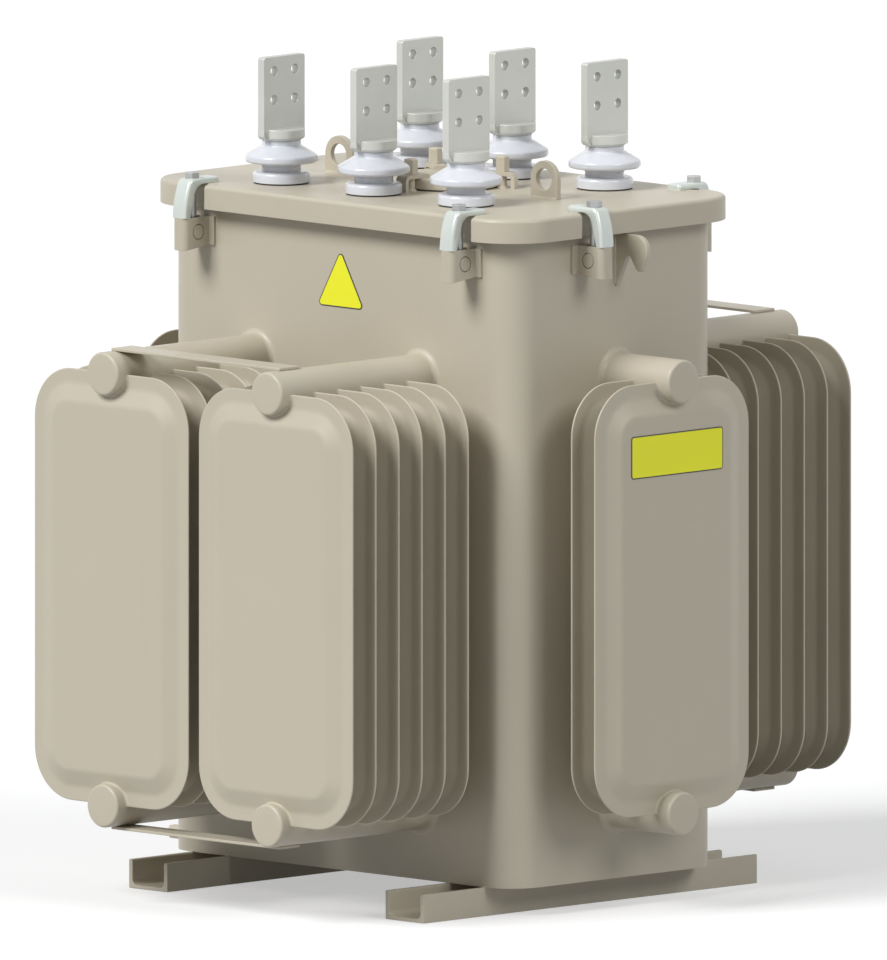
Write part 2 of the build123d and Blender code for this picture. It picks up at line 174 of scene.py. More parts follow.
def make_floor():
    """A flat square just under the skids."""
    corners = [(-FLOOR_HALF, -FLOOR_HALF), (FLOOR_HALF, -FLOOR_HALF), (FLOOR_HALF, FLOOR_HALF),
               (-FLOOR_HALF, FLOOR_HALF)]
    mesh = bpy.data.meshes.new("floor")
    mesh.from_pydata([(x, y, -FLOOR_DROP) for x, y in corners], [], [(0, 1, 2, 3)])
    floor = bpy.data.objects.new("floor", mesh)
    bpy.context.scene.collection.objects.link(floor)
    material = bpy.data.materials.new("pale_floor")
    material.use_nodes = True
    tree = material.node_tree
    tree.nodes.clear()
    seen = camera_or_mirror(tree)
    sheet = add_node(tree, "ShaderNodeBsdfDiffuse", {"Color": (0.62, 0.62, 0.62, 1)})
    dim = add_node(tree, "ShaderNodeBsdfDiffuse", {"Color": (0.43, 0.43, 0.43, 1)})
    glow = add_node(tree, "ShaderNodeEmission", {"Color": (1, 1, 1, 1), "Strength": 0.46})
    both = add_node(tree, "ShaderNodeAddShader", links={0: sheet.outputs[0], 1: glow.outputs[0]})
    mix = add_node(tree, "ShaderNodeMixShader",
                   links={0: seen.outputs[0], 1: dim.outputs[0], 2: both.outputs[0]})
    add_node(tree, "ShaderNodeOutputMaterial", links={"Surface": mix.outputs[0]})
    mesh.materials.append(material)


make_floor()

# %% [markdown]
# ## Shared effects
#
# Real finishes vary: sprayed paint has a fine orange peel, dust settles on what faces up, water leaves
# faint runs on upright walls, and handling rubs the edges. Each effect is one shader node group with
# named inputs, built once. A group puts out only masks and heights, and the material decides what to do
# with them. All of them read Object coordinates, in metres.

# %% Effect groups


def new_group(name, inputs, outputs):
    """An empty node group with float inputs, as {name: default}, and float outputs."""
    tree = bpy.data.node_groups.new(name, "ShaderNodeTree")
    for label, default in inputs.items():
        socket = tree.interface.new_socket(label, in_out="INPUT", socket_type="NodeSocketFloat")
        socket.default_value = default
    for label in outputs:
        tree.interface.new_socket(label, in_out="OUTPUT", socket_type="NodeSocketFloat")
    start = tree.nodes.new("NodeGroupInput")
    end = tree.nodes.new("NodeGroupOutput")
    return tree, start, end


def calc(tree, operation, a, b=0.0, clamp=False):
    """One Math node. a and b are sockets or plain numbers."""
    made = add_node(tree, "ShaderNodeMath", operation=operation, use_clamp=clamp)
    for slot, value in enumerate((a, b)):
        if isinstance(value, (int, float)):
            made.inputs[slot].default_value = value
        else:
            tree.links.new(value, made.inputs[slot])
    return made.outputs[0]


def stretched_noise(tree, stretch, scale, detail=3.0, rough=0.55):
    """Noise on Object coordinates, drawn out along the axes by the stretch."""
    place = add_node(tree, "ShaderNodeTexCoord")
    mapping = add_node(tree, "ShaderNodeMapping", {"Scale": stretch}, {"Vector": place.outputs["Object"]})
    inputs = {"Detail": detail, "Roughness": rough}
    links = {"Vector": mapping.outputs[0]}
    if isinstance(scale, (int, float)):
        inputs["Scale"] = scale
    else:
        links["Scale"] = scale
    return add_node(tree, "ShaderNodeTexNoise", inputs, links).outputs["Fac"]


def ramp(tree, value, low, high):
    """A smooth step from 0 at low to 1 at high."""
    made = add_node(tree, "ShaderNodeMapRange", {"From Min": low, "From Max": high}, {"Value": value},
                    interpolation_type="SMOOTHSTEP")
    return made.outputs[0]


def make_orange_peel():
    """The fine waves of sprayed paint: two sizes of noise added."""
    tree, start, end = new_group("orange_peel", {"Size": 500.0}, ["Height"])
    fine = stretched_noise(tree, (1, 1, 1), start.outputs["Size"], 2.0)
    broad = stretched_noise(tree, (1, 1, 1), 60.0, 2.0)
    tree.links.new(calc(tree, "ADD", fine, calc(tree, "MULTIPLY", broad, 0.6)), end.inputs["Height"])
    return tree


def make_mottle():
    """Slow changes of shade over the surface, from 0 to 1."""
    tree, start, end = new_group("mottle", {"Size": 6.0}, ["Mask"])
    slow = stretched_noise(tree, (1, 1, 1), start.outputs["Size"], 4.0, 0.6)
    tree.links.new(ramp(tree, slow, 0.3, 0.7), end.inputs["Mask"])
    return tree


def make_settled_dust():
    """Dust lies where the surface faces up, in soft patches."""
    tree, start, end = new_group("settled_dust", {"Amount": 0.5}, ["Mask"])
    shape = add_node(tree, "ShaderNodeNewGeometry")
    split = add_node(tree, "ShaderNodeSeparateXYZ", links={0: shape.outputs["Normal"]})
    facing = ramp(tree, split.outputs["Z"], 0.35, 0.95)
    patches = stretched_noise(tree, (1, 1, 1), 18.0, 5.0, 0.65)
    soft = ramp(tree, patches, 0.25, 0.75)
    mask = calc(tree, "MULTIPLY", calc(tree, "MULTIPLY", facing, soft), start.outputs["Amount"], True)
    tree.links.new(mask, end.inputs["Mask"])
    return tree


def make_water_runs():
    """Faint upright streaks: noise drawn out along Z, broken up by slower noise."""
    tree, start, end = new_group("water_runs", {"Amount": 0.5}, ["Mask"])
    lines = ramp(tree, stretched_noise(tree, (1, 1, 0.03), 60.0, 3.0), 0.52, 0.78)
    breaks = ramp(tree, stretched_noise(tree, (1, 1, 0.3), 9.0, 2.0), 0.4, 0.7)
    shape = add_node(tree, "ShaderNodeNewGeometry")
    split = add_node(tree, "ShaderNodeSeparateXYZ", links={0: shape.outputs["Normal"]})
    flat = calc(tree, "ABSOLUTE", split.outputs["Z"])
    upright = calc(tree, "SUBTRACT", 1.0, ramp(tree, flat, 0.2, 0.6))
    mask = calc(tree, "MULTIPLY", calc(tree, "MULTIPLY", lines, breaks), upright)
    tree.links.new(calc(tree, "MULTIPLY", mask, start.outputs["Amount"], True), end.inputs["Mask"])
    return tree


def make_edge_rub():
    """Edges are rubbed: where a normal averaged over 1.2 mm leaves the true one, broken up by noise."""
    tree, start, end = new_group("edge_rub", {"Amount": 0.5}, ["Mask"])
    shape = add_node(tree, "ShaderNodeNewGeometry")
    soft = add_node(tree, "ShaderNodeBevel", {"Radius": 0.0012}, samples=4)
    match = add_node(tree, "ShaderNodeVectorMath", operation="DOT_PRODUCT",
                     links={0: shape.outputs["Normal"], 1: soft.outputs[0]})
    edge = ramp(tree, calc(tree, "SUBTRACT", 1.0, match.outputs["Value"]), 0.01, 0.12)
    breaks = ramp(tree, stretched_noise(tree, (1, 1, 1), 90.0, 4.0, 0.7), 0.35, 0.65)
    mask = calc(tree, "MULTIPLY", calc(tree, "MULTIPLY", edge, breaks), start.outputs["Amount"], True)
    tree.links.new(mask, end.inputs["Mask"])
    return tree


def make_drawn_grain():
    """The fine lines that rolling or brushing leaves in metal, along Z."""
    tree, start, end = new_group("drawn_grain", {"Size": 900.0}, ["Height"])
    tree.links.new(stretched_noise(tree, (1, 1, 0.04), start.outputs["Size"], 3.0), end.inputs["Height"])
    return tree


GROUPS = {"peel": make_orange_peel(), "mottle": make_mottle(), "dust": make_settled_dust(),
          "runs": make_water_runs(), "rub": make_edge_rub(), "grain": make_drawn_grain()}
print("effects:", ", ".join(GROUPS))

# %% [markdown]
# ## Finishes
#
# Every finish is the same layered recipe. A base colour is mottled by a shade of itself, then come dust,
# runs and rubbed edges in that order, each under its own mask. The numbers for each material are kept in
# one table row, so that a repaint is one changed line.

# %% Materials
FINISHES = {
    # base, shade, dust, rubbed, metallic, roughness, coat, height group, size, bump, dust, runs, rub
    "tank_paint": ((0.562, 0.511, 0.406), (0.550, 0.500, 0.396), (0.63, 0.60, 0.52), (0.70, 0.67, 0.58),
                   0.0, 0.42, 0.12, "peel", 520.0, 0.00005, 0.10, 0.08, 0.35),
    "porcelain": ((0.74, 0.76, 0.82), (0.72, 0.74, 0.80), (0.72, 0.71, 0.68), (0.80, 0.82, 0.86),
                  0.0, 0.16, 0.5, "peel", 220.0, 0.00005, 0.12, 0.06, 0.10),
    "tinned_metal": ((0.66, 0.67, 0.62), (0.61, 0.62, 0.58), (0.64, 0.62, 0.57), (0.80, 0.80, 0.77),
                     0.40, 0.36, 0.0, "grain", 900.0, 0.00004, 0.15, 0.10, 0.45),
    "rubber_seal": ((0.030, 0.030, 0.032), (0.045, 0.045, 0.047), (0.16, 0.15, 0.14), (0.08, 0.08, 0.08),
                    0.0, 0.75, 0.0, "peel", 800.0, 0.00006, 0.20, 0.0, 0.30),
    "zinc_casting": ((0.70, 0.75, 0.71), (0.65, 0.70, 0.66), (0.66, 0.65, 0.60), (0.80, 0.83, 0.80),
                     0.28, 0.26, 0.0, "peel", 420.0, 0.00010, 0.12, 0.08, 0.45),
    "zinc_steel": ((0.48, 0.49, 0.48), (0.40, 0.41, 0.41), (0.52, 0.50, 0.46), (0.66, 0.67, 0.66),
                   0.6, 0.34, 0.0, "grain", 1100.0, 0.00005, 0.12, 0.08, 0.45),
    "yellow_plate": ((0.97, 0.97, 0.012), (0.95, 0.95, 0.012), (0.86, 0.84, 0.16), (0.95, 0.95, 0.06),
                     0.0, 0.38, 0.10, "peel", 600.0, 0.00003, 0.10, 0.06, 0.20),
    "dark_edge": ((0.025, 0.025, 0.025), (0.035, 0.035, 0.035), (0.12, 0.11, 0.10), (0.06, 0.06, 0.06),
                  0.0, 0.50, 0.0, "peel", 600.0, 0.00003, 0.10, 0.0, 0.20),
}


def use_group(tree, name, inputs):
    """One shared effect placed in a material."""
    made = tree.nodes.new("ShaderNodeGroup")
    made.node_tree = GROUPS[name]
    for key, value in inputs.items():
        made.inputs[key].default_value = value
    return made.outputs[0]


def layer(tree, mask, under, over):
    """Colour over lies on colour under where the mask is 1. A colour is a socket or three numbers."""
    made = add_node(tree, "ShaderNodeMix", data_type="RGBA", links={0: mask})
    for slot, colour in ((6, under), (7, over)):
        if isinstance(colour, tuple):
            made.inputs[slot].default_value = (*colour, 1)
        else:
            tree.links.new(colour, made.inputs[slot])
    return made.outputs[2]


def make_finish(name, row):
    """The layered recipe with one row of the table."""
    base, shade, dust, rubbed, metal, rough, coat, kind, size, bump, dusty, runny, rubby = row
    material = bpy.data.materials.new(name)
    material.use_nodes = True
    tree = material.node_tree
    tree.nodes.clear()
    mottle = use_group(tree, "mottle", {"Size": 7.0})
    settled = use_group(tree, "dust", {"Amount": dusty})
    runs = use_group(tree, "runs", {"Amount": runny})
    rub = use_group(tree, "rub", {"Amount": rubby})
    colour = layer(tree, mottle, shade, base)
    colour = layer(tree, runs, colour, tuple(0.8 * c for c in shade))
    colour = layer(tree, settled, colour, dust)
    colour = layer(tree, rub, colour, rubbed)
    matt = calc(tree, "ADD", calc(tree, "MULTIPLY", mottle, 0.06), calc(tree, "MULTIPLY", settled, 0.5))
    roughness = calc(tree, "ADD", matt, rough, True)
    height = use_group(tree, kind, {"Size": size})
    relief = add_node(tree, "ShaderNodeBump", {"Strength": 1.0, "Distance": bump}, {"Height": height})
    body = add_node(tree, "ShaderNodeBsdfPrincipled", {"Metallic": metal, "Coat Weight": coat,
                                                       "Coat Roughness": 0.2},
                    {"Base Color": colour, "Roughness": roughness, "Normal": relief.outputs[0]})
    add_node(tree, "ShaderNodeOutputMaterial", links={"Surface": body.outputs[0]})
    return material


MATERIALS = {name: make_finish(name, row) for name, row in FINISHES.items()}
SLOT_OF = {part["node"]: part["material_slot"] for part in frame["record"]["subparts"]}
print("materials:", len(MATERIALS))

# %% [markdown]
# ## From rings of points to a piece
#
# Almost every soft form here is a stack of closed rings: a fin's contours, a turned profile, a bead of
# weld round a pipe. One function joins neighbouring rings with quads and closes the ends, so no seam or
# pole is left open. A second one turns the result outwards and makes the object.

# %% Surface helpers
AXES = {
    "front": (np.array([1.0, 0, 0]), np.array([0, -1.0, 0])),
    "back": (np.array([-1.0, 0, 0]), np.array([0, 1.0, 0])),
    "left": (np.array([0, -1.0, 0]), np.array([-1.0, 0, 0])),
    "right": (np.array([0, 1.0, 0]), np.array([1.0, 0, 0])),
}
UP = np.array([0, 0, 1.0])


def ring_stack(rings):
    """(points, faces) of rings, an array of shape (n, m, 3).

    Face i, j joins points (i, j), (i, j+1), (i+1, j+1), (i+1, j), with j counted round the ring. One flat
    face closes each end.
    """
    n, m = rings.shape[:2]
    i, j = np.meshgrid(np.arange(n - 1), np.arange(m), indexing="ij")
    i, j = i.ravel(), j.ravel()
    up, across = i + 1, (j + 1) % m
    faces = np.stack([i * m + j, i * m + across, up * m + across, up * m + j], axis=1).tolist()
    faces += [list(range(m))[::-1], list(range((n - 1) * m, n * m))]
    return rings.reshape(-1, 3), faces


def volume(points, faces):
    """The signed volume: a sixth of the sum of a . (b x c) over the triangles of every face."""
    total = 0.0
    for face in faces:
        corner = points[face]
        total += (np.cross(corner[1:-1], corner[2:]) @ corner[0]).sum()
    return total / 6


def make_piece(name, parts, slot_name, material=None, smooth=35.0):
    """One object from several closed surfaces, each turned outwards."""
    points, faces, start = [], [], 0
    for part_points, part_faces in parts:
        inside_out = volume(part_points, part_faces) < 0
        for face in part_faces:
            faces.append([start + k for k in (face[::-1] if inside_out else face)])
        points.append(part_points)
        start += len(part_points)
    mesh = bpy.data.meshes.new(name)
    mesh.from_pydata(np.concatenate(points).tolist(), [], faces)
    mesh.shade_smooth()
    mesh.set_sharp_from_angle(angle=math.radians(smooth))
    mesh.materials.append(MATERIALS[material or slot_name])
    piece = bpy.data.objects.new(name, mesh)
    bpy.context.scene.collection.objects.link(piece)
    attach(piece, "root")
    return piece


def to_world(side, along, out, up):
    """World points from distances along a wall, out of it and up, as arrays of one shape."""
    wall, outwards = AXES[side]
    return along[..., None] * wall + out[..., None] * outwards + up[..., None] * UP


def side_box(node, side):
    """((low, high) along the wall, out of it, and up) of a node."""
    corners = np.array([list(corner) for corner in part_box(node)])
    wall, outwards = AXES[side]
    return [tuple(sorted(corners @ axis)) for axis in (wall, outwards, UP)]


def quarter(n):
    """n angles from 0 to a quarter turn."""
    return np.linspace(0, math.pi / 2, n)


def rounded_path(points, radii, steps=8):
    """The path with an arc of the given radius at each inner corner.

    The arc touches both legs at r / tan(half the angle) from the corner. Its points turn evenly about
    the centre, which lies on the corner's bisector at r / sin(half the angle).
    """
    points = np.array(points, float)
    path = [points[:1]]
    for before, corner, after, radius in zip(points, points[1:], points[2:], radii):
        a = (before - corner) / np.linalg.norm(before - corner)
        b = (after - corner) / np.linalg.norm(after - corner)
        half = math.acos(np.clip(a @ b, -1, 1)) / 2
        middle = corner + (a + b) / np.linalg.norm(a + b) * radius / math.sin(half)
        first = corner + a * radius / math.tan(half) - middle
        last = corner + b * radius / math.tan(half) - middle
        span = math.pi - 2 * half
        t = np.linspace(0, 1, steps)[:, None]
        path.append(middle + (np.sin((1 - t) * span) * first + np.sin(t * span) * last) / math.sin(span))
    return np.concatenate(path + [points[-1:]])


print("helpers ready")

# %% [markdown]
# ## Radiator fins
#
# A fin is two pressed steel sheets, seam-welded all round their edge, with the oil between them. Each
# press stroke leaves a flat rim, a slope with soft bends and a flat crown. So the surface is a stack of
# rounded rectangles, one inside the next, and the height is a function of how far in each one lies.

# %% Fins
RADIATORS = {
    "front_left": ("front", 6), "front_right": ("front", 6), "back_left": ("back", 6),
    "back_right": ("back", 6), "left": ("left", 2), "right": ("right", 2),
}
FIN_CORNER = 0.072
FIN_SEAM = 0.003
FIN_RIM = 0.020
FIN_SLOPE = 0.024
FIN_PITCH = 0.045
SEAM_FLAT = 0.0024
CROWN_FLAT = 0.012
CORNER_STEPS = 14
SLOPE_STEPS = 8
PRESS_ROUND = 0.022


def rounded_ring(half_width, half_height, corner, inset):
    """Points round a rounded rectangle, inset from its edge.

    Each corner is a quarter circle of radius corner - inset about the same centre, at half_width - corner
    and half_height - corner, so all insets share their centres and the straight sides stay parallel.
    """
    turn = np.concatenate([quarter(CORNER_STEPS) + k * math.pi / 2 for k in range(4)])
    sign_x = np.repeat([1, -1, -1, 1], CORNER_STEPS)
    sign_z = np.repeat([1, 1, -1, -1], CORNER_STEPS)
    radius = corner - inset
    return (sign_x * (half_width - corner) + radius * np.cos(turn),
            sign_z * (half_height - corner) + radius * np.sin(turn))


def fin_profile(crown):
    """Insets and heights from the seam's edge to the crown.

    The edge is a half round of radius seam / 2. The slope is straight, and an arc of radius PRESS_ROUND
    blends it into the rim below and into the crown above.
    """
    bend = quarter(5)
    half = FIN_SEAM / 2
    edge = np.stack([half * (1 - np.cos(bend)), half * np.sin(bend)], 1)
    slope_end = FIN_RIM + FIN_SLOPE
    corners = [(SEAM_FLAT, half), (FIN_RIM, half), (slope_end, crown), (slope_end + CROWN_FLAT, crown)]
    face = rounded_path(corners, [PRESS_ROUND, PRESS_ROUND], SLOPE_STEPS)
    return np.concatenate([edge, face]).T


def fin_surface(side, along, out, up, half_width, half_height, crown):
    """One fin: its back profile from crown to edge, then its front profile from edge to crown."""
    inset, height = fin_profile(crown)
    inset = np.concatenate([inset[::-1], inset[1:]])
    height = np.concatenate([-height[::-1], height[1:]])
    rings = []
    for step, lift in zip(inset, height):
        x, z = rounded_ring(half_width, half_height, FIN_CORNER, step)
        rings.append(to_world(side, along + x, np.full_like(x, out + lift), up + z))
    return ring_stack(np.array(rings))


def make_fins(name, side, count):
    """The fins of one radiator, placed by the node's box."""
    (left, right), (near, far), (low, high) = side_box(name + "_fins", side)
    crown = (far - near - (count - 1) * FIN_PITCH) / 2
    parts = [fin_surface(side, (left + right) / 2, near + crown + k * FIN_PITCH, (low + high) / 2,
                         (right - left) / 2, (high - low) / 2, crown) for k in range(count)]
    piece = make_piece(name + "_fin_sheets", parts, "tank_paint")
    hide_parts(name + "_fins")
    return crown


for name, (side, count) in RADIATORS.items():
    crown = make_fins(name, side, count)
print("fins made, each", round(2000 * crown, 1), "mm thick")

# %% [markdown]
# ## Headers
#
# A header is a length of thick pipe. It is welded to the tank wall with a hollow fillet, pierces every
# fin with a small weld on the outside, and ends in a closed, softly rounded face. It is turned about its
# own axis, so one profile of radius against distance makes it.

# %% Headers
PIPE_RADIUS = 0.03015
WALL_WELD = 0.008
END_ROUND = 0.004
END_RINGS = [0.012, 0.002]
FIN_WELD = 0.0035
WELD_SINK = 0.0006
WELD_BITE = 0.001
WELD_START = 0.02
TURN_STEPS = 72


def turned(side, along, up, radius, out):
    """A surface of revolution about the line out of a wall at along, up.

    Point i, j lies at radius[i] from the axis, turned by 2 pi j / TURN_STEPS, at out[i] along it.
    """
    turn = np.arange(TURN_STEPS) * 2 * math.pi / TURN_STEPS
    x = along + radius[:, None] * np.cos(turn)
    z = up + radius[:, None] * np.sin(turn)
    return ring_stack(to_world(side, x, np.repeat(out[:, None], TURN_STEPS, 1), z))


def hollow_fillet(foot, size):
    """(radius, distance out) of a concave quarter arc round the foot radius that leaves the wall flat."""
    turn = quarter(9)
    return foot + size * (1 - np.sin(turn)), size * (1 - np.cos(turn))


def header_profile(near, far):
    """The fillet at the wall, the pipe, the rounded edge and the rings of the flat end, as (radius, out)."""
    flare, rise = hollow_fillet(PIPE_RADIUS, WALL_WELD)
    bend = quarter(8)
    radius = np.concatenate([flare, PIPE_RADIUS - END_ROUND + END_ROUND * np.cos(bend), END_RINGS])
    out = np.concatenate([near + rise, far - END_ROUND + END_ROUND * np.sin(bend), [far, far]])
    return radius, out


def fin_weld(side, along, up, centre, way, inwards, profile):
    """A hollow half ring of weld between the pipe and one face of a fin.

    At the angle a from the fin's top edge the bead's radius r lies r sin(a) inside the fin, and there the
    pressed face has the height profile(r sin(a)). The bead stands on that height, a little sunk into it,
    and bites into the pipe.
    """
    flare, rise = hollow_fillet(PIPE_RADIUS, FIN_WELD)
    radius = np.concatenate([[PIPE_RADIUS - WELD_BITE], flare, [PIPE_RADIUS - WELD_BITE]])
    lift = np.concatenate([[-WELD_SINK], rise, [FIN_WELD]])
    turn = np.linspace(WELD_START, math.pi - WELD_START, TURN_STEPS // 2)[:, None]
    depth = radius * np.sin(turn)
    face = np.interp(depth, profile[0], profile[1])
    return ring_stack(to_world(side, along + radius * np.cos(turn), centre + way * (face + lift),
                               up + inwards * depth))


def make_headers(name, side, count):
    """Both pipes of one radiator and their welds, placed by the boxes of the headers and the fins."""
    (left, right), (near, far), (low, high) = side_box(name + "_headers", side)
    (_, _), (fin_near, fin_far), (_, _) = side_box(name + "_fins", side)
    crown = (fin_far - fin_near - (count - 1) * FIN_PITCH) / 2
    centres = [fin_near + crown + k * FIN_PITCH for k in range(count)]
    reach = PIPE_RADIUS + WALL_WELD
    profile = fin_profile(crown)
    pipes, welds = [], []
    for up in (low + reach, high - reach):
        pipes.append(turned(side, (left + right) / 2, up, *header_profile(near, far)))
        inwards = 1 if up < (low + high) / 2 else -1
        welds += [fin_weld(side, (left + right) / 2, up, centre, way, inwards, profile)
                  for centre in centres for way in (-1, 1)]
    piece = make_piece(name + "_header_pipes", pipes, "tank_paint")
    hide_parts(name + "_headers")
    make_piece(name + "_header_welds", welds, "tank_paint")


for name, (side, count) in RADIATORS.items():
    make_headers(name, side, count)
print("headers made")

# %% [markdown]
# ## Porcelain
#
# Porcelain is thrown or pressed wet and turned on a wheel before it is glazed and fired, so every edge is
# round. The profile is a base, a waist, one broad shed that throws rain clear of the joint, and a neck
# under the metal cap. Its corners are rounded by sweeping a small arc into each one.

# %% Porcelain
BASE_RADIUS, BASE_HEIGHT = 0.0394, 0.015
NECK_RADIUS, SHED_RADIUS = 0.027, 0.050
SHED_LOW, SHED_EDGE_LOW, SHED_EDGE_HIGH, SHED_HIGH = 0.026, 0.030, 0.039, 0.053
FOOT = 0.002
POLE = 0.004
GLAZE_ROUNDS = [0.0006, 0.0054, 0.0019, 0.0045, 0.0035, 0.0045, 0.0019, 0.0008]
GLAZE_TURNS = 96


def insulator_profile(height):
    """(radius, height) from under the base to the top of the neck, with one rounding for each corner."""
    points = [(POLE, FOOT), (BASE_RADIUS, FOOT), (BASE_RADIUS, FOOT + BASE_HEIGHT),
              (NECK_RADIUS, FOOT + BASE_HEIGHT), (NECK_RADIUS, SHED_LOW), (SHED_RADIUS, SHED_EDGE_LOW),
              (SHED_RADIUS, SHED_EDGE_HIGH), (NECK_RADIUS, SHED_HIGH), (NECK_RADIUS, height), (POLE, height)]
    return rounded_path(points, GLAZE_ROUNDS)


def make_porcelain(node):
    """The glazed body of one bushing, about the vertical line through the middle of its node."""
    low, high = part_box(node)
    profile = insulator_profile(high.z - low.z + FOOT)
    turn = np.arange(GLAZE_TURNS) * 2 * math.pi / GLAZE_TURNS
    x = (low.x + high.x) / 2 + profile[:, :1] * np.cos(turn)
    y = (low.y + high.y) / 2 + profile[:, :1] * np.sin(turn)
    z = np.repeat(low.z - FOOT + profile[:, 1:], GLAZE_TURNS, 1)
    body = ring_stack(np.stack([x, y, z], 2))
    piece = make_piece(node.replace("porcelain", "glazed_body"), [body], "porcelain")
    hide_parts(node)


BUSHINGS = [row + "_" + column for row in ("front", "back") for column in ("left", "middle", "right")]
for bushing in BUSHINGS:
    make_porcelain(bushing + "_porcelain")
print("porcelain made:", len(BUSHINGS))

# %% [markdown]
# ## Sheet metal, castings and fasteners
#
# No real edge is perfectly sharp: paint rolls over a sheared sheet, a casting comes off its mould round,
# a forged nut is softened by its die. Each of these plain nodes is copied, its loose triangles are welded
# into one skin, and a Bevel modifier rounds its edges by an amount that suits how the piece is made.

# %% Rounded copies
EDGE_ROUNDS = {
    "tank_wall": 0.0, "tank_floor": 0.0012, "tank_rim": 0.0012, "cover_gasket": 0.0006, "lid": 0.0008,
    "left_skid": 0.0010, "right_skid": 0.0010, "front_straps": 0.0010, "back_straps": 0.0010,
    "lid_gaskets": 0.0005, "clamp_bolts": 0.0006, "barrel_nuts": 0.0012, "clamp_brackets": 0.0008,
    "lifting_eyes": 0.0010, "hand_hole_cover": 0.0012,
    "cover_dogs": 0.0009, "cover_studs": 0.0006, "drain_boss": 0.0008, "drain_plug": 0.0007,
}
EDGE_ROUNDS.update({bushing + "_terminal": 0.0009 for bushing in BUSHINGS})
SAME_POINT = 0.000004
FLAT = math.radians(0.5)
CREASE = math.radians(32)


def welded_copy(node):
    """The node's triangles as one skin: close points are merged, and flat neighbours joined."""
    mesh = frame["nodes"][node].data.copy()
    work = bmesh.new()
    work.from_mesh(mesh)
    bmesh.ops.remove_doubles(work, verts=work.verts, dist=SAME_POINT)
    bmesh.ops.dissolve_limit(work, angle_limit=FLAT, verts=work.verts, edges=work.edges)
    work.to_mesh(mesh)
    work.free()
    if "custom_normal" in mesh.attributes:
        mesh.attributes.remove(mesh.attributes["custom_normal"])
    return mesh


def make_rounded(node, width):
    """A welded copy with rounded edges, in the finish of its slot, in place of the node."""
    mesh = welded_copy(node)
    mesh.shade_smooth()
    mesh.set_sharp_from_angle(angle=CREASE)
    mesh.materials.clear()
    mesh.materials.append(MATERIALS[SLOT_OF[node]])
    piece = bpy.data.objects.new(node + "_finished", mesh)
    bpy.context.scene.collection.objects.link(piece)
    if width:
        bevel = piece.modifiers.new("round_edges", "BEVEL")
        bevel.width = width
        bevel.segments = 3
        bevel.limit_method = "ANGLE"
        bevel.angle_limit = CREASE
        bevel.harden_normals = True
        bevel.miter_outer = "MITER_ARC"
    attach(piece, "root")
    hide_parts(node)


for node, width in EDGE_ROUNDS.items():
    make_rounded(node, width)
print("rounded copies:", len(EDGE_ROUNDS))

# %% [markdown]
# ## Clamp hooks
#
# A clamp hook is a zinc-coated casting. Its arm lies on the lid, its leg bows outwards down to the bracket,
# and it is hollow behind, between two cheeks. So the piece is a stack of outlines across the hook. They
# draw in towards both sides, where the edges are round, and between the cheeks the inner line steps back.

# %% Clamp hooks
CLAMPS = [("front", -0.260), ("front", 0.260), ("back", -0.260), ("back", 0.260), ("right", -0.069),
          ("left", -0.069)]
# The wall to the bolt, then half the hook's width, its side round, its inner edge and the cheeks' draft
BOLT_OUT = 0.024
HOOK_HALF, HOOK_ROUND, HOOK_BREAK, HOOK_DRAFT = 0.013, 0.0041, 0.0008, 0.0004
ARM, ARM_TIP = 0.008, 0.041
TOP_REACH, FOOT_REACH = 0.014, 0.027
LEG, LEG_WALL, THROAT, THROAT_ROUND, HOLLOW_ROUND = 0.011, 0.006, 0.004, 0.018, 0.002
HOOK_BEND, TIP_ROUND = 0.010, 0.003


def arc(middle, radius, start, end, n):
    """n points on a circle, evenly spaced in angle from start to end."""
    turn = np.linspace(start, end, n)
    return np.stack([middle[0] + radius * np.cos(turn), middle[1] + radius * np.sin(turn)], 1)


def hook_outer(drop, inset):
    """The tip, the arm's top and the bowed leg, all moved inwards by the inset.

    The leg is an arc that ends upright at the foot, so its radius is (w w + h h) / 2 w for a chord of width
    w and height h. The bend between arm and leg is a circle that touches both.
    """
    width, height = FOOT_REACH - TOP_REACH, drop + ARM
    bow = (width ** 2 + height ** 2) / (2 * width)
    middle, radius = bow - FOOT_REACH, bow - inset
    top, bend, tip = ARM - inset, HOOK_BEND - inset, TIP_ROUND - inset / 2
    bend_y = middle - math.sqrt((radius - bend) ** 2 - (top + drop - bend) ** 2)
    turn = math.atan2(top - bend + drop, bend_y - middle)
    return np.concatenate([arc((ARM_TIP - inset - tip, top - tip), tip, 0, math.pi / 2, 6),
                           arc((bend_y, top - bend), bend, math.pi / 2, turn, 9),
                           arc((middle, -drop), radius, turn, math.pi, 10)[1:]])


def hook_inner(drop, hollow, inset):
    """The inside of the leg, the throat and the arm's underside, of a cheek or of the hollow."""
    if hollow:
        lean = (FOOT_REACH - TOP_REACH) / (drop + ARM)
        foot, corner, radius = LEG_WALL - FOOT_REACH, LEG_WALL - TOP_REACH - lean * ARM, HOLLOW_ROUND
    else:
        foot, corner, radius = LEG - FOOT_REACH - inset, -THROAT - inset, THROAT_ROUND + inset
    return rounded_path([(foot, -drop), (corner, inset), (ARM_TIP / 2, inset)], [radius], 10)


